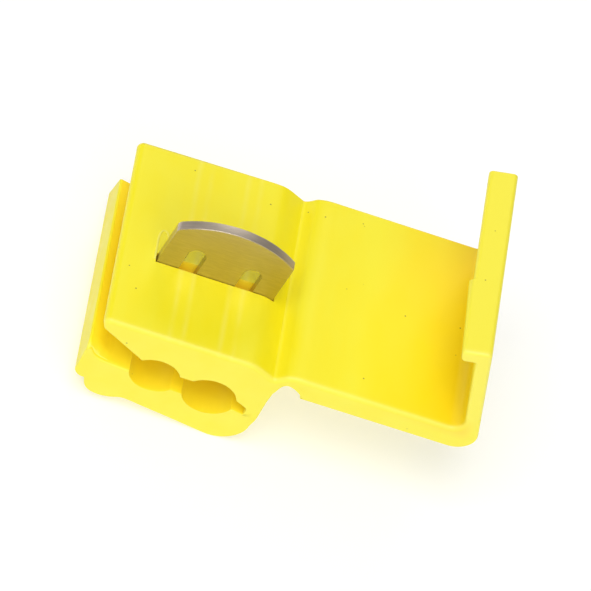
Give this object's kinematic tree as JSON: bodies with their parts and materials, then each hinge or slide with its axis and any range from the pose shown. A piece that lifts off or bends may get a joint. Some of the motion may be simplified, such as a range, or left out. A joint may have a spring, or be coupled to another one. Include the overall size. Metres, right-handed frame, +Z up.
{
  "type": "tap splice wire connector",
  "caption": "Snap-lock tap splice connector, open: moulded housing with two wire channels, slotted metal blade, sprung lower jaw, and a hinged cover with a hooked latch arm.",
  "frame": {"origin": "on the run wire channel's axis, halfway along the body", "axes": "+Y along both wire channels, away from the tap channel's open mouth; +Z up out of the housing's flat top; +X towards the open cover"},
  "size_m": [0.0386, 0.0224, 0.0257],
  "materials": {
    "yellow_plastic": "satin",
    "tinned_metal": "tin-plated, satin"
  },
  "bodies": {
    "housing": {"housing": "yellow_plastic", "jaw_flexure": "yellow_plastic", "living_hinge": "yellow_plastic"},
    "lower_jaw": {"lower_jaw": "yellow_plastic"},
    "cover": {"cover_plate": "yellow_plastic", "latch_bend": "yellow_plastic"},
    "latch_arm": {"latch_arm": "yellow_plastic"},
    "blade": {"blade_contact": "tinned_metal"}
  },
  "joints": [
    {"name": "cover_fold", "type": "hinge", "parent": "housing", "child": "cover", "pos_m": [0.0109, 0, 0.00635], "axis": [0, -1, 0], "range_deg": [0, 179.9], "stiffness_Nm_per_rad": 0.004, "deforming": ["living_hinge"]},
    {"name": "blade_press", "type": "slide", "parent": "housing", "child": "blade", "axis": [0, 0, -1], "range_m": [0, 0.0079]},
    {"name": "arm_spread", "type": "hinge", "parent": "cover", "child": "latch_arm", "pos_m": [0.03035, 0, 0.00685], "axis": [0, 1, 0], "range_deg": [0, 14.5], "deforming": ["latch_bend"]},
    {"name": "jaw_flex", "type": "hinge", "parent": "housing", "child": "lower_jaw", "pos_m": [0.0103, 0, -0.00115], "axis": [0, -1, 0], "range_deg": [0, 2.5], "stiffness_Nm_per_rad": 0.02, "deforming": ["jaw_flexure"]}
  ],
  "couplings": [
    {"joint": "cover_fold", "follows": "blade_press", "rad_per_m": 397.4},
    {"joint": "arm_spread", "follows": "blade_press", "rad_per_m": 32}
  ]
}
